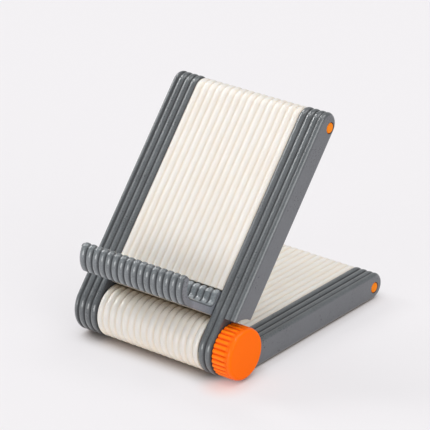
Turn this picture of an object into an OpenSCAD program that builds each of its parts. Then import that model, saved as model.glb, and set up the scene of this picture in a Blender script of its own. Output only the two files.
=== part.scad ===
// Foldable phone stand with two reeded panels, a phone ledge and a clamp knob.
// X runs along the hinge to the right, Y to the rear, Z up.

/* [Overall] */
// Width over the side rails
stand_w = 102; // [97:1:116]
// Lean of the backrest from upright, in degrees
lean = 40; // [20:1:60]
// Distance from the hinge axis to the rear rod of the base
base_reach = 126; // [95:1:150]
// Distance from the hinge axis to the top rod of the backrest
back_reach = 130; // [95:1:160]
// Thickness of the side rails
rail_t = 15; // [13:0.1:18]
// How far the cream panels stay below the rails, on each face
panel_inset = 0.4; // [0.2:0.1:1]
// Gap between the rails when the stand is folded flat
fold_gap = 0.8; // [0.4:0.1:1.6]

/* [Ribs] */
// Number of ribs across a panel and across the ledge
panel_ribs = 16; // [14:1:17]
// Width of one rib of a panel
panel_rib_w = 4.4; // [4:0.1:4.6]
// Radius of the ribs of a panel
panel_rib_r = 3.1; // [2.8:0.1:5]
// Width of one rib of a side rail
rail_rib_w = 4.2; // [3.8:0.1:4.4]
// Radius of the ribs of a side rail
rail_rib_r = 2.6; // [2.3:0.1:4]
// Radius of the long outer edges of a side rail
rail_edge_r = 2; // [1.4:0.1:2.2]

/* [Hinge] */
// Number of rail ribs that run on into the right-hand hinge ring
ring_ribs = 2; // [1:1:2]
// Gap round the hinge rings and round the cream knuckle
ring_gap = 0.7; // [0.4:0.1:1.2]
// Thickness that is left where the front tip of a base rail is cut off
rail_toe_t = 2; // [1:0.1:4]
// Radius of the rounded rims of the cream knuckle
knuckle_edge_r = 1.2; // [0.5:0.1:2]
// Thickness of a friction washer
friction_washer_t = 0.5; // [0.3:0.1:1]
// Radius of a friction washer
friction_washer_r = 11; // [8:0.5:13]
// Play beside a washer
washer_play = 0.05; // [0.03:0.01:0.1]
// Radius of the hinge bolt
bolt_r = 3; // [2.5:0.25:4]
// Running clearance round the hinge bolt
bolt_play = 0.05; // [0.02:0.01:0.1]
// Width across the flats of the bolt's head
bolt_head_af = 10; // [9:0.5:13]
// Height of the bolt's head
bolt_head_h = 4; // [3:0.5:6]
// How deep the bolt's head sits below the rail's outer face
bolt_head_sink = 0.8; // [0.4:0.1:2]

/* [Knob] */
// How much less the knob's radius is than that of the hinge rings
knob_shy = 0.7; // [0.3:0.1:2]
// How far the knob stands out from the rail's outer face
knob_out = 5.2; // [3:0.1:8]
// Number of ridges round the knob
knob_ridges = 30; // [24:1:40]
// Radius of a ridge of the knob
knob_ridge_r = 1.6; // [1.2:0.1:2.5]
// Width of the smooth band beside the knob's face
knob_band_w = 2.4; // [2:0.1:4]
// How far the ridges stand out from the smooth band
knob_band_step = 0.3; // [0.1:0.05:0.5]
// Radius of the rounded rim of the knob's face
knob_rim_r = 1.8; // [1:0.1:1.9]
// Gap between the knob and the ribs that are cut away above it
knob_clear = 3.6; // [1.5:0.1:5]
// Thickness that is left where the front tips of those ribs are cut off
rail_tip_t = 2; // [1:0.1:4]
// Radius of the threaded insert in the knob
insert_r = 5; // [4.5:0.25:7]
// Thickness of the knob in front of the threaded insert
knob_face_t = 3.8; // [2:0.1:6]
// Thickness of the washer behind the knob
knob_washer_t = 0.7; // [0.4:0.1:1]
// Radius of the washer behind the knob
knob_washer_r = 9; // [7:0.5:11]

/* [Ledge] */
// Thickness of the ledge over its ribs
ledge_t = 6.2; // [5:0.1:7]
// Radius of the ribs of the ledge
ledge_rib_r = 2.6; // [2.4:0.1:4]
// Height of the ledge's lower edge above the hinge axis, along the backrest
ledge_low = 12.5; // [10:0.1:16]
// Straight height of the ledge's back wall above its bend
ledge_wall_h = 3.2; // [2:0.1:12]
// Straight length of the ledge's floor between its bends
ledge_floor_l = 18.4; // [8:0.1:30]
// How far the foot of the ledge's back wall stands out from the side rails
ledge_proud = 1.2; // [0.8:0.1:3]
// How deep the ledge is let into the panel
ledge_seat = 3; // [2:0.1:3.2]
// Angle by which the ledge's floor drops towards its lip
ledge_drop = 8; // [0:1:12]
// Inner radius between the ledge's floor and its lip
lip_r = 6.8; // [3:0.1:8]
// Straight height of the lip above that curve
lip_h = 0.2; // [0.2:0.1:10]
// Inner radius between the ledge's floor and its back wall
heel_r = 2.8; // [1.5:0.1:5]
// Side gap between the ledge and each rail
ledge_gap = 0.2; // [0.1:0.1:1]

/* [Rods, dowels and screws] */
// Radius of the tie rods
rod_r = 3; // [2.5:0.1:4]
// How far the base's tie rod lies below the middle of its rails
base_rod_drop = 0.8; // [0:0.1:2]
// How far the backrest's tie rod lies behind the middle of its rails
back_rod_drop = 2.4; // [0:0.1:2.4]
// Chamfer on the ends of the tie rods
rod_chamfer = 0.4; // [0.2:0.1:0.8]
// Width of the ring-shaped recess round each end of a tie rod
rod_ring_w = 0.3; // [0.2:0.05:0.6]
// Depth of that recess
rod_ring_d = 1.5; // [0.5:0.1:3]
// Radius of the dowels
dowel_r = 2.5; // [1.5:0.1:3.5]
// Length of the dowels
dowel_l = 20; // [12:1:26]
// Distance from the hinge axis to the dowels
dowel_reach = 40; // [34:1:60]
// Play round rods, dowels, screws, feet and the insert
fit_play = 0.05; // [0.02:0.01:0.1]
// Radius of the ledge screws
screw_r = 1.75; // [1.25:0.05:2.25]
// Radius of the heads of the ledge screws
screw_head_r = 3.4; // [2.8:0.1:4.2]
// Distance between the ledge screws
screw_spacing = 44; // [26:1:56]
// Height of the ledge screws above the ledge's lower edge
screw_rise = 9.5; // [9:0.1:10]
// How deep the screws reach into the ledge
screw_bite = 3.2; // [2:0.1:3.6]
// How deep the screws' heads sit below the back of the panel
screw_sink = 1; // [0.8:0.1:2]

/* [Feet] */
// Radius of a rubber foot
foot_r = 5; // [3.5:0.1:6]
// How far a foot stands out below the base
foot_out = 0.6; // [0.4:0.1:2]
// How deep a foot is let into the base
foot_in = 1.8; // [1.4:0.1:3]
// Chamfer round the sole of a foot
foot_chamfer = 0.3; // [0.1:0.1:0.5]
// Distance from the front tip of a base rail to its front foot
foot_front_gap = 2; // [1:0.5:20]
// Distance from the rear rod forward to a rear foot
foot_rear_gap = 3; // [0:0.5:20]

/* [Hidden] */
$fn = 72;

cream = [0.93, 0.90, 0.85];
grey = [0.40, 0.42, 0.44];
orange = [1, 0.42, 0.06];
steel = [0.70, 0.71, 0.73];
dark_steel = [0.25, 0.25, 0.27];
brass = [0.78, 0.62, 0.30];
rubber = [0.12, 0.12, 0.13];
nylon = [0.85, 0.85, 0.82];

// How far cutting shapes reach past the faces that they cut
cut = 1;
left = -1;
right = 1;

// Widths, from the middle of the panels outwards
panel_w = panel_ribs * panel_rib_w;
rail_w = (stand_w - panel_w) / 2;
rail_ribs = floor((rail_w - rail_edge_r) / rail_rib_w);
half_ring_w = ring_ribs * rail_rib_w;
knuckle_w = panel_w - 2 * (friction_washer_t + washer_play);

// The hinge axis is zero in height in the base and in the backrest
ring_r = rail_t + fold_gap / 2;
knuckle_r = ring_r - panel_inset;
rail_mid = (rail_t + fold_gap) / 2;
panel_t = rail_t - 2 * panel_inset;
hinge_h = ring_r + foot_out;

// The knob, from its inner face to its outer face
knob_r = ring_r - knob_shy;
knob_x = panel_w / 2 + half_ring_w + knob_washer_t + washer_play;
knob_w = stand_w / 2 + knob_out - knob_x;
insert_l = knob_w - knob_face_t;
rib_cut_r = knob_r + knob_clear;
rail_tip = sqrt(pow(rib_cut_r, 2) - pow(ring_r - rail_tip_t, 2));

// Hollow front ends of the base rails, cut upright where they get thin
rail_hollow_r = ring_r + ring_gap;
rail_toe = sqrt(pow(rail_hollow_r, 2) - pow(ring_r - rail_toe_t, 2));
foot_front = rail_toe + foot_front_gap + foot_r;
foot_rear = base_reach - foot_rear_gap - foot_r;

// The hinge bolt
bolt_x = -stand_w / 2 + bolt_head_sink;
bolt_tip_gap = 0.5;
bolt_l = knob_x + insert_l - bolt_tip_gap - bolt_x;
washer_bore_play = 0.2;
washer_bore_r = bolt_r + washer_bore_play;

// Section of the ledge, about the centre of the bend at its heel
ledge_w = panel_w - 2 * ledge_gap;
heel_mid_r = heel_r + ledge_t / 2;
lip_mid_r = lip_r + ledge_t / 2;
lip_step = lip_r - heel_r;
flat_cut = 0.1;
underside = heel_r + ledge_t - groove_depth(ledge_w / panel_ribs, ledge_rib_r) - flat_cut;

// Where the ledge is: depths forward of the hinge axis, heights above it
seat_d = ring_r - panel_inset - ledge_seat;
heel_d = ring_r + ledge_proud + heel_r;
heel_s = ledge_low + underside / cos(ledge_drop) - (heel_d - seat_d) * tan(ledge_drop);
wall_top = heel_s + heel_mid_r * sin(ledge_drop) + ledge_wall_h * cos(ledge_drop) + ledge_t / 2;
screw_s = ledge_low + screw_rise;
panel_back_d = fold_gap / 2 + panel_inset;
screw_l = seat_d + screw_bite - panel_back_d - screw_sink;

// Shift that puts the origin under the middle of the whole stand
y_front = min(ledge_level(ledge_floor_l, lip_step) - lip_r - ledge_t,
    ledge_level(ledge_floor_l + lip_mid_r, lip_step + lip_h) - ledge_t / 2);
y_rear = max(base_reach, level(rail_mid, back_reach)) + rail_t / 2;
x_middle = (knob_x + knob_w - stand_w / 2) / 2;
y_middle = (y_front + y_rear) / 2;

// How far back a point of the backrest lies, at depth d and height s
function level(d, s) = s * sin(lean) - d * cos(lean);

// The same for a point of the ledge, at depth d and height s from the centre of its heel
function ledge_level(d, s) = level(heel_d, heel_s)
    + s * sin(lean - ledge_drop) - d * cos(lean - ledge_drop);

// Depth of the grooves between ribs of a given width and radius
function groove_depth(w, r) = r - sqrt(r * r - w * w / 4);

// Places a piece of the base: hinge axis along X, base towards +Y
module on_base() {
    translate([-x_middle, -y_middle, hinge_h]) children();
}

// Places a piece of the backrest, made upright: hinge axis along X, front towards -Y
module on_back() {
    on_base() rotate([-lean, 0, 0]) children();
}

// Makes a piece for one side: the shape is that of the right-hand side
module to_side(side) {
    mirror([side == left ? 1 : 0, 0, 0]) children();
}

// Lays a shape that stands along Z down along X
module along_x() {
    rotate([0, 90, 0]) children();
}

// Cylinder along X from x0 to x1
module bar_x(r, x0, x1) {
    translate([x0, 0, 0]) along_x() cylinder(r = r, h = x1 - x0);
}

// Rod along X with chamfered ends
module rod_x(r, length, chamfer) {
    along_x() rotate_extrude() polygon([
        [0, -length / 2], [r - chamfer, -length / 2], [r, chamfer - length / 2],
        [r, length / 2 - chamfer], [r - chamfer, length / 2], [0, length / 2]]);
}

// Reeded section, w wide and t thick: ribs on both faces
module reeded_section(w, t, r) {
    rib_w = w / panel_ribs;
    intersection() {
        square([w, t], center = true);
        union() {
            square([w, t / 2], center = true);
            for (i = [0 : panel_ribs - 1], side = [-1, 1])
                translate([(i + 0.5) * rib_w - w / 2, side * (t / 2 - r)]) circle(r);
        }
    }
}

// Reeded section for turning: from radius r_in to r_out, ribs on its round faces
module reeded_turning(w, r_in, r_out, r) {
    rib_w = w / panel_ribs;
    skin = (r_out - r_in) / 4;
    core = r_in > 0 ? r_in + skin : 0;
    intersection() {
        translate([r_in, -w / 2]) square([r_out - r_in, w]);
        union() {
            translate([core, -w / 2]) square([r_out - skin - core, w]);
            for (i = [0 : panel_ribs - 1]) {
                translate([r_out - r, (i + 0.5) * rib_w - w / 2]) circle(r);
                if (r_in > 0)
                    translate([r_in + r, (i + 0.5) * rib_w - w / 2]) circle(r);
            }
        }
    }
}

// Section of a side rail from its inner side at X = 0, ribs on both faces
module rail_section(t) {
    translate([0, rail_edge_r - t / 2]) square([rail_w, t - 2 * rail_edge_r]);
    intersection() {
        translate([0, -t / 2]) square([rail_ribs * rail_rib_w, t]);
        for (i = [0 : rail_ribs - 1], side = [-1, 1])
            translate([(i + 0.5) * rail_rib_w, side * (t / 2 - rail_rib_r)]) circle(rail_rib_r);
    }
    for (side = [-1, 1])
        translate([rail_w - rail_edge_r, side * (t / 2 - rail_edge_r)]) circle(rail_edge_r);
}

// Section of a rail for turning, from its axis out to radius r
module rail_turning(r) {
    intersection() {
        square([r, rail_w]);
        mirror([1, -1, 0]) rail_section(2 * r);
    }
}

// Rounded end of a rail: starts pointing down, turned by start, sweeps to the rear
module rail_round(r, start, sweep) {
    rotate([start, 0, 0]) along_x() rotate_extrude(angle = sweep) rail_turning(r);
}

// Bore for a tie rod, with a ring-shaped recess at each end
module rod_bore() {
    bar_x(rod_r + fit_play, -stand_w / 2 - cut, stand_w / 2 + cut);
    for (side = [left, right])
        to_side(side)
            bar_x(rod_r + rod_ring_w, stand_w / 2 - rod_ring_d, stand_w / 2 + cut);
}

// Blind bore for a dowel across the joint of a panel and a rail
module dowel_bore() {
    bar_x(dowel_r + fit_play, panel_w / 2 - dowel_l / 2 - fit_play,
        panel_w / 2 + dowel_l / 2 + fit_play);
}

module dowel() {
    chamfer = 0.5;
    color(steel) translate([panel_w / 2, 0, 0]) rod_x(dowel_r, dowel_l, chamfer);
}

// Tie rod with chamfered ends that lie flush with the rails
module tie_rod() {
    color(orange) rod_x(rod_r, stand_w, rod_chamfer);
}

// Middle of the rounded end of the base
module at_base_end() {
    translate([0, base_reach, -rail_mid]) children();
}

// Where the rod and the dowels cross the base
module at_base_rod() {
    translate([0, base_reach, -rail_mid - base_rod_drop]) children();
}

module at_base_dowel() {
    translate([0, dowel_reach, -rail_mid]) children();
}

// Middle of the rounded end of the backrest
module at_back_end() {
    translate([0, -rail_mid, back_reach]) children();
}

// Where the rod and the dowels cross the backrest
module at_back_rod() {
    translate([0, back_rod_drop - rail_mid, back_reach]) children();
}

module at_back_dowel() {
    translate([0, -rail_mid, dowel_reach]) children();
}

// Bore for the hinge bolt through everything on the hinge axis
module bolt_bore() {
    bar_x(bolt_r + bolt_play, -stand_w, stand_w);
}

// Cream knuckle: a reeded drum with rounded rims, open where it joins the panel
module knuckle() {
    sweep = -290;
    along_x() rotate_extrude(angle = sweep) intersection() {
        reeded_turning(panel_w, 0, knuckle_r, panel_rib_r);
        union() {
            translate([0, -knuckle_w / 2]) square([knuckle_r - knuckle_edge_r, knuckle_w]);
            translate([0, knuckle_edge_r - knuckle_w / 2])
                square([knuckle_r, knuckle_w - 2 * knuckle_edge_r]);
            for (side = [-1, 1])
                translate([knuckle_r - knuckle_edge_r, side * (knuckle_w / 2 - knuckle_edge_r)])
                    circle(knuckle_edge_r);
        }
    }
}

module base_panel() {
    color(cream) on_base() difference() {
        union() {
            at_base_end() rotate([90, 0, 0]) linear_extrude(base_reach)
                reeded_section(panel_w, panel_t, panel_rib_r);
            at_base_end() along_x() rotate_extrude(angle = 180)
                reeded_turning(panel_w, 0, panel_t / 2, panel_rib_r);
            knuckle();
        }
        for (side = [left, right])
            to_side(side) bar_x(rail_hollow_r, knuckle_w / 2, panel_w / 2 + cut);
        bolt_bore();
        at_base_rod() rod_bore();
        for (side = [left, right])
            to_side(side) at_base_dowel() dowel_bore();
    }
}

// Middle of a foot, on the underside of the right-hand base rail
module at_foot(y) {
    translate([(panel_w + rail_w) / 2, y, -ring_r]) children();
}

module foot_pocket() {
    translate([0, 0, -cut]) cylinder(r = foot_r + fit_play, h = foot_in + cut);
}

module base_rail(side) {
    color(grey) on_base() to_side(side) difference() {
        translate([panel_w / 2, 0, 0]) {
            at_base_end() {
                rotate([90, 0, 0]) linear_extrude(base_reach - rail_toe) rail_section(rail_t);
                rail_round(rail_t / 2, 0, 180);
            }
        }
        bar_x(rail_hollow_r, panel_w / 2 - cut, stand_w / 2 + cut);
        at_base_rod() rod_bore();
        at_base_dowel() dowel_bore();
        at_foot(foot_front) foot_pocket();
        at_foot(foot_rear) foot_pocket();
    }
}

module base_dowel(side) {
    on_base() to_side(side) at_base_dowel() dowel();
}

module base_tie_rod() {
    on_base() at_base_rod() tie_rod();
}

module foot(side, y) {
    color(rubber) on_base() to_side(side) at_foot(y) rotate_extrude() polygon([
        [0, -foot_out], [foot_r - foot_chamfer, -foot_out],
        [foot_r, foot_chamfer - foot_out], [foot_r, foot_in], [0, foot_in]]);
}

module friction_washer(side) {
    color(nylon) on_base() to_side(side) difference() {
        bar_x(friction_washer_r, knuckle_w / 2, knuckle_w / 2 + friction_washer_t);
        bar_x(washer_bore_r, 0, panel_w);
    }
}

// Rail of the backrest: a bar with a rounded top and a full hinge ring below
module back_rail_blank() {
    ring_sweep = 290;
    translate([panel_w / 2, 0, 0]) {
        translate([0, -rail_mid, 0]) linear_extrude(back_reach) rail_section(rail_t);
        at_back_end() rail_round(rail_t / 2, 90, 180);
        rail_round(ring_r, -90, ring_sweep);
    }
}

module back_rail_left() {
    head_r = bolt_head_af / 2 / cos(30) + fit_play;
    pocket_d = bolt_head_sink + bolt_head_h + fit_play;
    color(grey) on_back() to_side(left) difference() {
        back_rail_blank();
        bolt_bore();
        translate([stand_w / 2 - pocket_d, 0, 0]) along_x()
            cylinder(r = head_r, h = pocket_d + cut, $fn = 6);
        at_back_rod() rod_bore();
        at_back_dowel() dowel_bore();
    }
}

module back_rail_right() {
    color(grey) on_back() difference() {
        back_rail_blank();
        // The outer ribs end above the knob, and their thin front tips are cut off
        bar_x(rib_cut_r, panel_w / 2 + half_ring_w, stand_w / 2 + cut);
        translate([panel_w / 2 + half_ring_w, -ring_r - cut, -ring_r])
            cube([rail_w, ring_r, ring_r + rail_tip]);
        bolt_bore();
        at_back_rod() rod_bore();
        at_back_dowel() dowel_bore();
    }
}

module back_dowel(side) {
    on_back() to_side(side) at_back_dowel() dowel();
}

module back_tie_rod() {
    on_back() at_back_rod() tie_rod();
}

// Where a ledge screw lies, its head to the rear
module at_screw(side) {
    to_side(side) translate([screw_spacing / 2, -panel_back_d - screw_sink, screw_s])
        rotate([90, 0, 0]) children();
}

// Countersunk screw, made from the top of its head along +Z
module screw_shape(play, length) {
    head_h = screw_head_r - screw_r;
    rotate_extrude() polygon([
        [0, 0], [screw_head_r + play, 0], [screw_head_r + play, play],
        [screw_r + play, head_h + play], [screw_r + play, length], [0, length]]);
}

module screw_bore() {
    screw_shape(fit_play, screw_l + fit_play);
    translate([0, 0, -screw_sink - cut])
        cylinder(r = screw_head_r + fit_play, h = screw_sink + cut);
}

module back_panel() {
    seat_top = wall_top + ledge_gap;
    color(cream) on_back() difference() {
        union() {
            translate([0, -rail_mid, ledge_low]) linear_extrude(back_reach - ledge_low)
                reeded_section(panel_w, panel_t, panel_rib_r);
            at_back_end() rotate([90, 0, 0]) along_x() rotate_extrude(angle = 180)
                reeded_turning(panel_w, 0, panel_t / 2, panel_rib_r);
        }
        bar_x(knuckle_r + ring_gap, -stand_w / 2, stand_w / 2);
        translate([-panel_w / 2 - cut, -seat_d - ring_r, ledge_low - cut])
            cube([panel_w + 2 * cut, ring_r, seat_top - ledge_low + cut]);
        at_back_rod() rod_bore();
        for (side = [left, right]) {
            to_side(side) at_back_dowel() dowel_bore();
            at_screw(side) screw_bore();
        }
    }
}

// Places a shape of the ledge: centre of the heel's bend at the origin, floor level
module at_heel() {
    translate([0, -heel_d, heel_s]) rotate([ledge_drop, 0, 0]) children();
}

// A bend of the ledge round X: starts pointing down, turned by start, sweeps to the rear
module ledge_bend(start, sweep, r_in) {
    rotate([start, 0, 0]) along_x() rotate_extrude(angle = sweep)
        reeded_turning(ledge_w, r_in, r_in + (r_in > 0 ? ledge_t : ledge_t / 2), ledge_rib_r);
}

// An upright wall of the ledge with a rounded top
module ledge_wall(h) {
    linear_extrude(h) reeded_section(ledge_w, ledge_t, ledge_rib_r);
    translate([0, 0, h]) ledge_bend(90, 180, 0);
}

// The ledge as one bent reeded strip: back wall, heel, floor, toe and lip
module ledge_strip() {
    translate([0, heel_mid_r, 0]) ledge_wall(ledge_wall_h);
    ledge_bend(0, 90, heel_r);
    translate([0, 0, -heel_mid_r]) rotate([90, 0, 0]) linear_extrude(ledge_floor_l)
        reeded_section(ledge_w, ledge_t, ledge_rib_r);
    translate([0, -ledge_floor_l, lip_step]) {
        ledge_bend(-90, 90, lip_r);
        translate([0, -lip_mid_r, 0]) ledge_wall(lip_h);
    }
}

// Square corner behind the heel, which seats in the panel's rebate
module ledge_corner() {
    outer = heel_r + ledge_t;
    translate([-ledge_w / 2, 0, 0]) rotate([90, 0, 90]) linear_extrude(ledge_w)
        polygon([[heel_mid_r, 0], [outer, 0], [outer, -outer], [0, -outer], [0, -heel_mid_r]]);
}

module ledge() {
    far = back_reach;
    color(grey) on_back() difference() {
        at_heel() {
            ledge_strip();
            ledge_corner();
        }
        // Flat rear face and flat underside
        translate([-far / 2, -seat_d, 0]) cube(far);
        at_heel() translate([-far / 2, -far / 2, -underside - far]) cube(far);
        for (side = [left, right])
            at_screw(side) screw_bore();
    }
}

module ledge_screw(side) {
    socket_r = 1.4;
    socket_d = 1.2;
    color(dark_steel) on_back() at_screw(side) difference() {
        screw_shape(0, screw_l);
        translate([0, 0, -cut]) cylinder(r = socket_r, h = socket_d + cut, $fn = 6);
    }
}

module hinge_bolt() {
    chamfer = 0.6;
    shank_l = bolt_l - bolt_head_h;
    color(steel) on_back() {
        translate([bolt_x, 0, 0]) along_x()
            cylinder(r = bolt_head_af / 2 / cos(30), h = bolt_head_h, $fn = 6);
        translate([bolt_x + bolt_head_h, 0, 0]) along_x() rotate_extrude() polygon([
            [0, 0], [bolt_r, 0], [bolt_r, shank_l - chamfer],
            [bolt_r - chamfer, shank_l], [0, shank_l]]);
    }
}

module knob_washer() {
    x = panel_w / 2 + half_ring_w;
    color(steel) on_back() difference() {
        bar_x(knob_washer_r, x, x + knob_washer_t);
        bar_x(washer_bore_r, 0, stand_w);
    }
}

// Outline of the ridged part of the knob
module knob_outline() {
    circle(knob_r - knob_ridge_r);
    for (i = [0 : knob_ridges - 1])
        rotate(i * 360 / knob_ridges) translate([knob_r - knob_ridge_r, 0]) circle(knob_ridge_r);
}

module knob() {
    band_r = knob_r - knob_band_step;
    ridge_l = knob_w - knob_band_w;
    color(orange) on_base() translate([knob_x, 0, 0]) along_x() difference() {
        union() {
            linear_extrude(ridge_l) knob_outline();
            translate([0, 0, ridge_l]) rotate_extrude() {
                square([band_r - knob_rim_r, knob_band_w]);
                square([band_r, knob_band_w - knob_rim_r]);
                intersection() {
                    translate([band_r - knob_rim_r, knob_band_w - knob_rim_r]) circle(knob_rim_r);
                    square([band_r, knob_band_w]);
                }
            }
        }
        translate([0, 0, -cut]) cylinder(r = insert_r + fit_play, h = insert_l + cut);
    }
}

module knob_insert() {
    color(brass) on_base() translate([knob_x, 0, 0]) along_x() difference() {
        cylinder(r = insert_r, h = insert_l);
        translate([0, 0, -cut]) cylinder(r = bolt_r + bolt_play, h = insert_l + 2 * cut);
    }
}

base_panel();
base_rail(left);  // base_rail_left
base_rail(right);  // base_rail_right
base_tie_rod();
base_dowel(left);  // base_dowel_left
base_dowel(right);  // base_dowel_right
foot(left, foot_front);  // foot_front_left
foot(right, foot_front);  // foot_front_right
foot(left, foot_rear);  // foot_rear_left
foot(right, foot_rear);  // foot_rear_right
friction_washer(left);  // friction_washer_left
friction_washer(right);  // friction_washer_right
back_panel();
back_rail_left();
back_rail_right();
back_tie_rod();
back_dowel(left);  // back_dowel_left
back_dowel(right);  // back_dowel_right
ledge();
ledge_screw(left);  // ledge_screw_left
ledge_screw(right);  // ledge_screw_right
hinge_bolt();
knob_washer();
knob();
knob_insert();
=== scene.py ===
import math

import bpy
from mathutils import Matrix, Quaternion, Vector


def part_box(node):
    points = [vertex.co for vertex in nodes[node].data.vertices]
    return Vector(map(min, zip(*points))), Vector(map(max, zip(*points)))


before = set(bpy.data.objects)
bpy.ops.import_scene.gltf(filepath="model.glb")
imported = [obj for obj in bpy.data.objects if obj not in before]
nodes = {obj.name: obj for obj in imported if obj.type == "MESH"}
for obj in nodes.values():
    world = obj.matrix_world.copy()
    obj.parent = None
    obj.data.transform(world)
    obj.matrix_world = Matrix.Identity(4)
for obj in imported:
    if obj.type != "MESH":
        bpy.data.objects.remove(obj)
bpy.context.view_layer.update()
mm = 0.001

# Studio
# The stand is shot on a plain pale table, one seamless sheet that runs far past the picture.
# Soft lights from the left, the front, the right and above draw out its ribs.


class Wire:
    """An output of a shader node. Arithmetic on it adds Math nodes."""

    def __init__(self, finish, socket):
        self.finish = finish
        self.socket = socket

    def math(self, operation, *values):
        return self.finish.add("ShaderNodeMath", {"operation": operation}, dict(enumerate(values)))

    def __add__(self, other):
        return self.math("ADD", self, other)

    def __sub__(self, other):
        return self.math("SUBTRACT", self, other)

    def __rsub__(self, other):
        return self.math("SUBTRACT", other, self)

    def __mul__(self, other):
        return self.math("MULTIPLY", self, other)

    def __truediv__(self, other):
        return self.math("DIVIDE", self, other)

    def __abs__(self):
        return self.math("ABSOLUTE", self)

    __radd__ = __add__
    __rmul__ = __mul__


class Finish:
    """A material of the stand, built up from nodes round its Principled shader."""

    edge_turn = (0.01, 0.25)

    def __init__(self, name):
        self.material = bpy.data.materials.new(name)
        self.material.use_nodes = True
        self.tree = self.material.node_tree
        self.shader = self.tree.nodes["Principled BSDF"]
        self.place = self.add("ShaderNodeTexCoord", {}, {}, "Object")

    def add(self, kind, settings, inputs, output=0):
        """Adds a node: its settings first, then the values or wires of its inputs."""
        node = self.tree.nodes.new(kind)
        for name, value in settings.items():
            setattr(node, name, value)
        for name, value in inputs.items():
            self.feed(node.inputs[name], value)
        return Wire(self, node.outputs[output])

    def feed(self, socket, value):
        if isinstance(value, Wire):
            self.tree.links.new(value.socket, socket)
        else:
            socket.default_value = value

    def set(self, **inputs):
        """Sets inputs of the shader; an underscore in a name stands for a space."""
        for name, value in inputs.items():
            self.feed(self.shader.inputs[name.replace("_", " ")], value)

    def noise(self, size, detail=2.0, stretch=(1, 1, 1)):
        """Noise whose lumps are about size metres across, from 0 to 1."""
        place = self.add("ShaderNodeVectorMath", {"operation": "MULTIPLY"},
                         {0: self.place, 1: stretch})
        return self.add("ShaderNodeTexNoise", {}, {"Vector": place, "Scale": 1 / size,
                                                   "Detail": detail, "Roughness": 0.55})

    def step(self, value, low, high, start=0.0, end=1.0):
        """Runs smoothly from start to end while value goes from low to high."""
        return self.add("ShaderNodeMapRange", {"interpolation_type": "SMOOTHSTEP"}, {
            "Value": value, "From Min": low, "From Max": high, "To Min": start, "To Max": end})

    def mix(self, factor, a, b):
        """Mixes two colours."""
        return self.add("ShaderNodeMix", {"data_type": "RGBA"}, {0: factor, 6: a, 7: b}, 2)

    def along(self, axis):
        """How far a point lies along X, Y or Z, in metres."""
        return self.add("ShaderNodeSeparateXYZ", {}, {0: self.place}, axis)

    def facing(self):
        """The surface's own normal."""
        return self.add("ShaderNodeNewGeometry", {}, {}, "Normal")

    def soft_edges(self, radius):
        """The surface's normal with its edges rounded off."""
        return self.add("ShaderNodeBevel", {"samples": 4}, {"Radius": radius}, "Normal")

    def near_edge(self, rounded):
        """How near a rounded edge a point lies, from 0 to 1."""
        likeness = self.add("ShaderNodeVectorMath", {"operation": "DOT_PRODUCT"},
                            {0: rounded, 1: self.facing()}, "Value")
        return self.step(1 - likeness, *self.edge_turn)

    def openness(self, reach):
        """How open a point lies within reach metres, from 0 in a tight corner to 1."""
        return self.add("ShaderNodeAmbientOcclusion", {"samples": 8}, {"Distance": reach}, "AO")

    def bump(self, height, distance, strength=1.0, normal=None):
        """The normal of a surface with this relief, distance metres deep."""
        inputs = {"Height": height, "Distance": distance, "Strength": strength}
        if normal is not None:
            inputs["Normal"] = normal
        return self.add("ShaderNodeBump", {}, inputs)

    def show_white(self, colour, share):
        """Lets the camera, gloss and glass see a share of plain colour in place of lit surface."""
        lit = Wire(self, self.shader.outputs[0])
        plain = self.add("ShaderNodeEmission", {}, {"Color": colour})
        seen = self.seen_directly() * share
        shown = self.add("ShaderNodeMixShader", {}, {0: seen, 1: lit, 2: plain})
        self.feed(self.tree.nodes["Material Output"].inputs["Surface"], shown)

    def seen_directly(self):
        """1 for what the camera, gloss or glass sees, 0 for what lights other surfaces."""
        rays = ("Is Camera Ray", "Is Glossy Ray", "Is Transmission Ray")
        return sum(self.add("ShaderNodeLightPath", {}, {}, ray) for ray in rays)

    def paint(self, *names):
        """Puts the finish on nodes of the stand."""
        for name in names:
            for slot in nodes[name].material_slots:
                slot.material = self.material


table_reach = 8.0
table_white = (0.852, 0.836, 0.856, 1)
table_grey = (0.840, 0.820, 0.835, 1)
table_contact_shadow = (0.46, 0.40, 0.37, 1)
table_shine = 0.68
table_roughness = 0.9
table_gloss = 0.1
contact_shadow_reach = 12 * mm
contact_shadow_openness = (0.10, 0.95)

# A faint orange glow is painted on the table in front of the knob: painted bounce light from the
# knob.
knob_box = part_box("knob")
knob_glow_inset = 3 * mm
knob_glow_middle = Vector(((knob_box[0].x + knob_box[1].x) / 2, knob_box[0].y + knob_glow_inset, 0))
knob_glow_radii = (2 * mm, 17 * mm)
knob_glow_tint = (0.90, 0.62, 0.56, 1)
knob_glow_on_lit = 0.8
knob_glow_on_white = 0.35
knob_glow_clears_shadow = 0.6

aim = Vector((-12.68, 5.67, 58.8)) * mm
distance = 1.617
azimuth = math.radians(37.73)
elevation = math.radians(23.95)
roll = math.radians(0.32)
lens_mm = 246.0
sensor_mm = 36.0
far_clip = 50.0
sky_white = (1, 1, 1, 1)
sky_strength = 0.42

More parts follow.
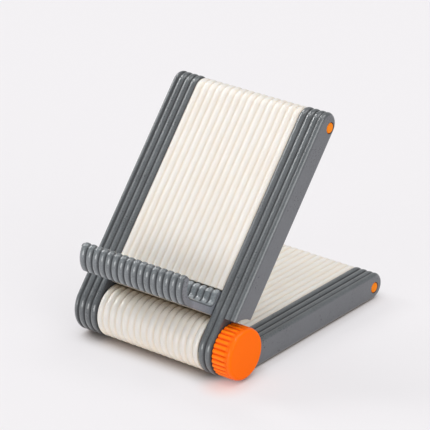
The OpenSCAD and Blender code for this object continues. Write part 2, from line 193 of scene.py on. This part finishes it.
table_mesh = bpy.data.meshes.new("table")
corners = [(-table_reach, -table_reach, 0), (table_reach, -table_reach, 0),
           (table_reach, table_reach, 0), (-table_reach, table_reach, 0)]
table_mesh.from_pydata(corners, [], [(0, 1, 2, 3)])
table = bpy.data.objects.new("table", table_mesh)
bpy.context.scene.collection.objects.link(table)
table_finish = Finish("table sheet")
from_knob_glow = table_finish.add("ShaderNodeVectorMath", {"operation": "DISTANCE"},
                              {0: table_finish.place, 1: knob_glow_middle}, "Value")
knob_glow = table_finish.step(from_knob_glow, *knob_glow_radii, start=1, end=0)
# The table's colour is painted darker where the stand comes close: a painted contact shadow.
shade = table_finish.step(table_finish.openness(contact_shadow_reach), *contact_shadow_openness, start=1, end=0)
shade = shade * (1 - knob_glow * knob_glow_clears_shadow)
tone = table_finish.mix(shade, table_grey, table_contact_shadow)
# The knob's painted orange glow tints both the lit table and its plain white.
table_finish.set(Base_Color=table_finish.mix(knob_glow * knob_glow_on_lit, tone, knob_glow_tint),
                 Roughness=table_roughness,
                 Specular_IOR_Level=table_gloss)
table_finish.show_white(table_finish.mix(knob_glow * knob_glow_on_white, table_white, knob_glow_tint),
                        (1 - shade) * table_shine)
table_mesh.materials.append(table_finish.material)

camera_data = bpy.data.cameras.new("camera")
camera_data.lens = lens_mm
camera_data.sensor_width = sensor_mm
camera_data.clip_end = far_clip
camera = bpy.data.objects.new("camera", camera_data)
bpy.context.scene.collection.objects.link(camera)
backwards = Vector((math.sin(azimuth) * math.cos(elevation),
                    -math.cos(azimuth) * math.cos(elevation),
                    math.sin(elevation)))
camera.location = aim + distance * backwards
level = backwards.to_track_quat("Z", "Y")
camera.rotation_euler = (level @ Quaternion((0, 0, 1), roll)).to_euler()
bpy.context.scene.camera = camera

sky = bpy.data.worlds.new("soft studio")
sky.use_nodes = True
bpy.context.scene.world = sky
background = sky.node_tree.nodes["Background"]
background.inputs["Color"].default_value = sky_white
background.inputs["Strength"].default_value = sky_strength
bpy.context.scene.view_settings.view_transform = "Standard"


def soft_light(name, strength, spread_deg, azimuth_deg, height_deg):
    """A distant soft light that shines from a compass direction and a height."""
    lamp = bpy.data.lights.new(name, "SUN")
    lamp.energy = strength
    lamp.angle = math.radians(spread_deg)
    holder = bpy.data.objects.new(name, lamp)
    bpy.context.scene.collection.objects.link(holder)
    turn = math.radians(azimuth_deg)
    height = math.radians(height_deg)
    towards = Vector((math.sin(turn) * math.cos(height),
                      -math.cos(turn) * math.cos(height), math.sin(height)))
    holder.rotation_euler = towards.to_track_quat("Z", "Y").to_euler()


soft_light("left strip light", strength=0.76, spread_deg=15, azimuth_deg=-76, height_deg=34)
soft_light("left rear strip light", strength=0.58, spread_deg=16, azimuth_deg=-103, height_deg=44)
soft_light("top strip light", strength=0.32, spread_deg=14, azimuth_deg=-35, height_deg=74)
soft_light("front softbox", strength=1.36, spread_deg=36, azimuth_deg=-8, height_deg=4)
soft_light("right softbox", strength=0.84, spread_deg=40, azimuth_deg=75, height_deg=26)
soft_light("rear softbox", strength=0.88, spread_deg=40, azimuth_deg=118, height_deg=66)


# Grey side rails
# Four long mouldings in dark grey satin plastic carry the two panels. Each has ribs on both
# broad faces and a flat outer side, and is pinned to its panel by a tie rod and a blind dowel.

rail_rib = 4.2 * mm
rail_grey = (0.076, 0.085, 0.091, 1)
rail_light = (0.110, 0.122, 0.130, 1)
rail_side_tone_and_shade = (0.094, 0.096, 0.112, 1)
rail_groove_shade = (0.016, 0.018, 0.021, 1)
rail_grain = 0.8 * mm
rail_cloud = 14 * mm
rail_scuff = 0.9 * mm
rail_scuff_stretch = (1, 0.12, 0.12)
rail_patches = (0.38, 0.62)
rail_edge = 0.35 * mm
rail_relief = 0.003 * mm
rail_gloss = 0.6
rail_coat_roughness = 0.12

# How much each mask shows in the colour, the relief, the roughness and the coat.
patches_by_grain = 0.65
side_tone_and_shade = 0.5
shade_by_groove = 0.85
tint_by_edge = 0.35
relief_by_scuffs = 0.4
rail_roughness = 0.22
roughness_by_grain = 0.08
roughness_by_cloud = 0.06
roughness_by_groove = 0.20
dulled_by_groove = 0.95
dulled_by_side = 0.6

side_facing = (0.90, 0.98)
rib_middle = 0.5
groove_wall = (0.22, 0.48)


def flat_side(finish):
    """1 on a flat side that faces left or right, 0 elsewhere."""
    sideways = finish.add("ShaderNodeSeparateXYZ", {}, {0: finish.facing()}, "X")
    return finish.step(abs(sideways), *side_facing)


def groove(finish, pitch, first, side):
    """How deep in a groove a point lies, from 0 on a rib or a flat side to 1.

    The grooves run at first + n pitch.
    """
    turns = (finish.along("X") - first) / pitch
    phase = finish.add("ShaderNodeMath", {"operation": "FRACT"}, {0: turns})
    return finish.step(abs(phase - rib_middle), *groove_wall) * (1 - side)


def grey_plastic(name, pitch, first, paleness_and_light=lambda finish: 1.0):
    """Dark grey satin plastic with a fine moulded grain, dull and painted with shade in its
    grooves.
    """
    finish = Finish(name)
    grain = finish.noise(rail_grain, detail=4)
    cloud = finish.noise(rail_cloud, detail=3)
    scuffs = finish.noise(rail_scuff, detail=5, stretch=rail_scuff_stretch)
    side = flat_side(finish)
    low = groove(finish, pitch, first, side)
    rounded = finish.soft_edges(rail_edge)
    patches = finish.step(grain * patches_by_grain + cloud * (1 - patches_by_grain), *rail_patches)
    tone = finish.mix(patches, rail_grey, rail_light)
    # The flat sides take a bluer grey, partly a tone of their own and partly painted shade.
    tone = finish.mix(side * side_tone_and_shade, tone, rail_side_tone_and_shade)
    # Painted shade darkens the grooves.
    tone = finish.mix(low * shade_by_groove, tone, rail_groove_shade)
    tone = finish.mix(finish.near_edge(rounded) * tint_by_edge, tone, rail_light)
    # The colour is scaled paler here, which on the ledge is partly painted light.
    tone = finish.add("ShaderNodeVectorMath", {"operation": "SCALE"},
                      {0: tone, "Scale": paleness_and_light(finish)})
    roughness = rail_roughness + grain * roughness_by_grain + cloud * roughness_by_cloud
    finish.set(Base_Color=tone,
               Roughness=roughness + low * roughness_by_groove,
               Normal=finish.bump(grain + scuffs * relief_by_scuffs, rail_relief, normal=rounded),
               Specular_IOR_Level=rail_gloss,
               Coat_Weight=1 - low * dulled_by_groove - side * dulled_by_side,
               Coat_Roughness=rail_coat_roughness)
    return finish


rail_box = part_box("back_rail_right")
left_rail_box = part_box("back_rail_left")
grey_plastic("grey plastic, right rails", rail_rib, rail_box[0].x).paint(
    "base_rail_right", "back_rail_right")
grey_plastic("grey plastic, left rails", rail_rib, left_rail_box[1].x).paint(
    "base_rail_left", "back_rail_left")


# Cream panels
# The middle of the base and of the backrest are reeded panels in warm cream satin plastic.
# The base panel turns up into a fat knuckle at the hinge, moulded in one piece with it.

panel_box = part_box("back_panel")
panel_ribs = 16
panel_pitch = (panel_box[1].x - panel_box[0].x) / panel_ribs
cream = (0.755, 0.731, 0.692, 1)
cream_warm = (0.745, 0.709, 0.658, 1)
cream_groove_shade_and_grain = (0.720, 0.600, 0.450, 1)
cream_bounce_light = (0.970, 0.890, 0.770, 1)
cream_ledge_shadow = (0.260, 0.190, 0.120, 1)
cream_grain = 0.5 * mm
cream_cloud = 18 * mm
cream_patches = (0.35, 0.70)
cream_edge = 0.8 * mm
cream_relief = 0.005 * mm
cream_relief_strength = 0.8
cream_coat = 0.3
cream_coat_roughness = 0.2
cream_glow = 0.3
cream_glow_colour = (1.0, 0.8, 0.6)
cream_glow_depth = 2.0 * mm
cream_shade_by_groove = 0.4
cream_tint_by_grain = 0.06
cream_roughness = 0.28
cream_roughness_by_grain = 0.10
cream_roughness_by_groove = 0.15

# Where the panels close in on each other the cream is painted paler and warmer, a painted bounce
# light, and under the ledge it is painted dark, a painted shadow of the ledge.
shelter_reach = 24 * mm
bounce_openness = (0.20, 0.84)
ledge_shadow_openness = (0.02, 0.42)
ledge_shadow_height = (12 * mm, 22 * mm)
ledge_shadow_most = 0.9

cream_plastic = Finish("cream plastic")
grain = cream_plastic.noise(cream_grain, detail=3)
cloud = cream_plastic.noise(cream_cloud, detail=2)
low = groove(cream_plastic, panel_pitch, panel_box[0].x, flat_side(cream_plastic))
rounded = cream_plastic.soft_edges(cream_edge)
tone = cream_plastic.mix(cream_plastic.step(cloud, *cream_patches), cream, cream_warm)
# Painted shade turns the grooves a darker beige; the grain mixes in the same beige as a tone of
# its own.
tone = cream_plastic.mix(low * cream_shade_by_groove + grain * cream_tint_by_grain,
                         tone, cream_groove_shade_and_grain)
openness = cream_plastic.openness(shelter_reach)
# Sheltered cream is painted paler and warmer: painted bounce light.
deep = cream_plastic.step(openness, *bounce_openness, start=1, end=0)
tone = cream_plastic.mix(deep, tone, cream_bounce_light)
# Deep under the ledge the cream is painted dark: a painted shadow of the ledge.
ledge_shadow = cream_plastic.step(openness, *ledge_shadow_openness, start=ledge_shadow_most, end=0)
ledge_shadow = ledge_shadow * cream_plastic.step(cream_plastic.along("Z"), *ledge_shadow_height)
tone = cream_plastic.mix(ledge_shadow, tone, cream_ledge_shadow)
roughness = cream_roughness + grain * cream_roughness_by_grain
cream_plastic.set(Base_Color=tone,
                  Roughness=roughness + low * cream_roughness_by_groove,
                  Normal=cream_plastic.bump(grain, cream_relief, cream_relief_strength, rounded),
                  Coat_Weight=cream_coat,
                  Coat_Roughness=cream_coat_roughness,
                  Subsurface_Weight=cream_glow,
                  Subsurface_Radius=cream_glow_colour,
                  Subsurface_Scale=cream_glow_depth)
cream_plastic.paint("base_panel", "back_panel")


# Ledge
# A reeded strip of the same grey plastic, bent into a J and closed flat underneath. It sits in
# a rebate of the back panel and is held from behind by two countersunk screws.

ledge_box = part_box("ledge")
ledge_pitch = (ledge_box[1].x - ledge_box[0].x) / panel_ribs
ledge_front = ledge_box[0].y
# The ledge is painted paler than the rails, partly a paler grey of its own and partly painted
# light;
ledge_pale_and_lit = 1.52
# its floor behind the lip, which the lip shades, gets more painted light.
floor_painted_light = 0.9
floor_start = (ledge_front + 7 * mm, ledge_front + 12 * mm)


def ledge_paleness_and_light(finish):
    """How much paler than the rails the ledge is: partly its own paler grey, partly painted light,
    most of all on its floor that the lip shades.
    """
    return ledge_pale_and_lit + floor_painted_light * finish.step(finish.along("Y"), *floor_start)


grey_plastic("grey plastic, ledge", ledge_pitch, ledge_box[0].x, ledge_paleness_and_light).paint("ledge")


# Clamp knob
# A ridged knob in bright orange plastic, moulded round a brass insert that runs on the hinge
# bolt. Turning it draws the rings against the cream knuckle and holds the angle.

orange = (1.0, 0.150, 0.003, 1)
orange_valley_shade = (0.84, 0.060, 0.001, 1)
orange_light = (1.0, 0.172, 0.003, 1)
orange_crest_highlight = (1.0, 0.240, 0.002, 1)
knob_face = knob_box[1].x
knob_radius = (knob_box[1].z - knob_box[0].z) / 2
knob_grain = 0.4 * mm
knob_cloud = 7 * mm
knob_edge = 0.3 * mm
knob_relief = 0.012 * mm
knob_relief_strength = 0.8
knob_gloss = 0.04
knob_coat = 0.3
knob_coat_roughness = 0.12
ridge_end = (knob_face - 4.4 * mm, knob_face - 3.6 * mm)
valley_radii = (knob_radius - 0.65 * mm, knob_radius - 0.05 * mm)
crest_radii = (knob_radius - 0.35 * mm, knob_radius)
coat_end = (knob_face - 1.2 * mm, knob_face - 0.1 * mm)
knob_tint_by_cloud = 0.5
knob_tint_by_grain = 0.25
knob_shade_by_valley = 0.6
knob_highlight_by_crest = 0.7
knob_roughness = 0.38
knob_roughness_by_grain = 0.10
knob_roughness_by_cloud = 0.05


def from_axis(finish, box):
    """How far a point lies from the left to right axis of a round piece in this box."""
    middle = (box[0] + box[1]) / 2
    across = finish.along("Y") - middle.y
    up = finish.along("Z") - middle.z
    return finish.add("ShaderNodeMath", {"operation": "SQRT"}, {0: across * across + up * up})


orange_plastic = Finish("orange plastic")
grain = orange_plastic.noise(knob_grain, detail=4)
cloud = orange_plastic.noise(knob_cloud, detail=3)
rightward = orange_plastic.along("X")
radius = from_axis(orange_plastic, knob_box)
ridged = orange_plastic.step(rightward, *ridge_end, start=1, end=0)
valley = orange_plastic.step(radius, *valley_radii, start=1, end=0)
crest = orange_plastic.step(radius, *crest_radii)
rounded = orange_plastic.soft_edges(knob_edge)
tone = orange_plastic.mix(cloud * knob_tint_by_cloud + grain * knob_tint_by_grain,
                          orange, orange_light)
# Painted shade darkens the valleys between the ridges.
tone = orange_plastic.mix(valley * ridged * knob_shade_by_valley, tone, orange_valley_shade)
# A painted highlight lightens the crests of the ridges.
tone = orange_plastic.mix(crest * ridged * knob_highlight_by_crest, tone, orange_crest_highlight)
roughness = knob_roughness + grain * knob_roughness_by_grain
orange_plastic.set(Base_Color=tone,
                   Roughness=roughness + cloud * knob_roughness_by_cloud,
                   Normal=orange_plastic.bump(grain, knob_relief, knob_relief_strength, rounded),
                   Specular_IOR_Level=knob_gloss,
                   Coat_Weight=orange_plastic.step(rightward, *coat_end, start=knob_coat, end=0),
                   Coat_Roughness=knob_coat_roughness)
orange_plastic.paint("knob")


# Tie rods
# An orange plastic rod runs right through the rails and the panel near the free end of each
# half. Its turned ends lie flush in the rails' outer sides.

rod_orange = (0.90, 0.245, 0.004, 1)
rod_rim_shade_and_grain = (0.84, 0.175, 0.002, 1)
rod_rim = (2.2 * mm, 3.0 * mm)
rod_ring_pitch = 0.35 * mm
rod_grain = 0.3 * mm
rod_edge = 0.15 * mm
rod_relief = 0.006 * mm
rod_relief_strength = 0.8
rod_relief_by_rings = 0.5
rod_gloss = 0.08
rod_shade_by_rim = 0.5
rod_tint_by_grain = 0.2
rod_roughness = 0.36
rod_roughness_by_grain = 0.12


def rod_plastic(node):
    """Orange rod plastic with faint turning rings and a painted shade round the rim on the ends of
    this rod.
    """
    finish = Finish("orange rod plastic, " + node)
    radius = from_axis(finish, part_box(node))
    rings = finish.add("ShaderNodeMath", {"operation": "SINE"},
                       {0: radius * (2 * math.pi / rod_ring_pitch)})
    grain = finish.noise(rod_grain, detail=3)
    rim = finish.step(radius, *rod_rim)
    # The rim of each end is painted darker: painted shade round the rod's end.
    tint = rim * rod_shade_by_rim + grain * rod_tint_by_grain
    relief = rings * rod_relief_by_rings + grain
    rounded = finish.soft_edges(rod_edge)
    finish.set(Base_Color=finish.mix(tint, rod_orange, rod_rim_shade_and_grain),
               Roughness=rod_roughness + grain * rod_roughness_by_grain,
               Normal=finish.bump(relief, rod_relief, rod_relief_strength, rounded),
               Specular_IOR_Level=rod_gloss)
    finish.paint(node)


rod_plastic("base_tie_rod")
rod_plastic("back_tie_rod")


# Hinge bolt, washers and insert
# The bolt's hexagon head sits in the left rail. Its shank passes through the rings and the
# knuckle, with a nylon washer on each side of the knuckle and a steel one behind the knob.

zinc_dull = (0.52, 0.53, 0.55, 1)
zinc_bright = (0.68, 0.69, 0.70, 1)
zinc_grain = 0.6 * mm
zinc_streak = 0.3 * mm
zinc_streak_stretch = (0.1, 1, 1)
zinc_edge = 0.2 * mm
zinc_relief = 0.006 * mm
zinc_relief_strength = 0.8
zinc_roughness = 0.26
zinc_roughness_by_streaks = 0.22
nylon_grey = (0.74, 0.73, 0.68, 1)
nylon_white = (0.84, 0.83, 0.79, 1)
nylon_grain = 0.3 * mm
nylon_relief = 0.008 * mm
nylon_roughness = 0.45
nylon_roughness_by_grain = 0.10
brass_dark = (0.62, 0.44, 0.18, 1)
brass_bright = (0.80, 0.62, 0.30, 1)
brass_grain = 0.4 * mm
brass_relief = 0.006 * mm
brass_roughness = 0.28
brass_roughness_by_grain = 0.15

zinc = Finish("zinc plated steel")
grain = zinc.noise(zinc_grain, detail=4)
streaks = zinc.noise(zinc_streak, detail=3, stretch=zinc_streak_stretch)
rounded = zinc.soft_edges(zinc_edge)
zinc.set(Base_Color=zinc.mix(grain, zinc_dull, zinc_bright),
         Metallic=1.0,
         Roughness=zinc_roughness + streaks * zinc_roughness_by_streaks,
         Normal=zinc.bump(streaks, zinc_relief, zinc_relief_strength, rounded))
zinc.paint("hinge_bolt", "knob_washer")

nylon = Finish("white nylon")
grain = nylon.noise(nylon_grain, detail=3)
nylon.set(Base_Color=nylon.mix(grain, nylon_grey, nylon_white),
          Roughness=nylon_roughness + grain * nylon_roughness_by_grain,
          Normal=nylon.bump(grain, nylon_relief))
nylon.paint("friction_washer_left", "friction_washer_right")

brass = Finish("turned brass")
grain = brass.noise(brass_grain, detail=4)
brass.set(Base_Color=brass.mix(grain, brass_dark, brass_bright),
          Metallic=1.0,
          Roughness=brass_roughness + grain * brass_roughness_by_grain,
          Normal=brass.bump(grain, brass_relief))
brass.paint("knob_insert")


# Dowels
# A blind steel pin, zinc plated as the bolt is, sits half in each rail and half in its panel.
# It is the rail's second fixing point beside the tie rod.

zinc.paint("base_dowel_left", "base_dowel_right", "back_dowel_left", "back_dowel_right")


# Ledge screws
# Two countersunk screws in black oxide steel, with hexagon sockets, driven from behind through
# the back panel into the ledge.

oxide_black = (0.030, 0.030, 0.033, 1)
oxide_worn = (0.20, 0.20, 0.21, 1)
oxide_grain = 0.5 * mm
oxide_edge = 0.15 * mm
oxide_relief = 0.006 * mm
oxide_relief_strength = 0.8
oxide_tint_by_edge = 0.6
oxide_tint_by_grain = 0.2
oxide_roughness = 0.34
oxide_roughness_by_grain = 0.20

black_oxide = Finish("black oxide steel")
grain = black_oxide.noise(oxide_grain, detail=4)
rounded = black_oxide.soft_edges(oxide_edge)
worn = black_oxide.near_edge(rounded) * oxide_tint_by_edge + grain * oxide_tint_by_grain
black_oxide.set(Base_Color=black_oxide.mix(worn, oxide_black, oxide_worn),
                Metallic=1.0,
                Roughness=oxide_roughness + grain * oxide_roughness_by_grain,
                Normal=black_oxide.bump(grain, oxide_relief, oxide_relief_strength, rounded))
black_oxide.paint("ledge_screw_left", "ledge_screw_right")


# Feet
# Four black rubber pads, pressed into round pockets in the underside of the base rails.

rubber_black = (0.022, 0.022, 0.024, 1)
rubber_dusty = (0.085, 0.083, 0.080, 1)
rubber_grain = 0.35 * mm
rubber_dust = 3 * mm
rubber_relief = 0.02 * mm
rubber_tint_by_dust = 0.35
rubber_roughness = 0.78
rubber_roughness_by_grain = 0.12

rubber = Finish("black rubber")
grain = rubber.noise(rubber_grain, detail=4)
dust = rubber.noise(rubber_dust, detail=3)
rubber.set(Base_Color=rubber.mix(dust * rubber_tint_by_dust, rubber_black, rubber_dusty),
           Roughness=rubber_roughness + grain * rubber_roughness_by_grain,
           Normal=rubber.bump(grain, rubber_relief))
rubber.paint("foot_front_left", "foot_front_right", "foot_rear_left", "foot_rear_right")
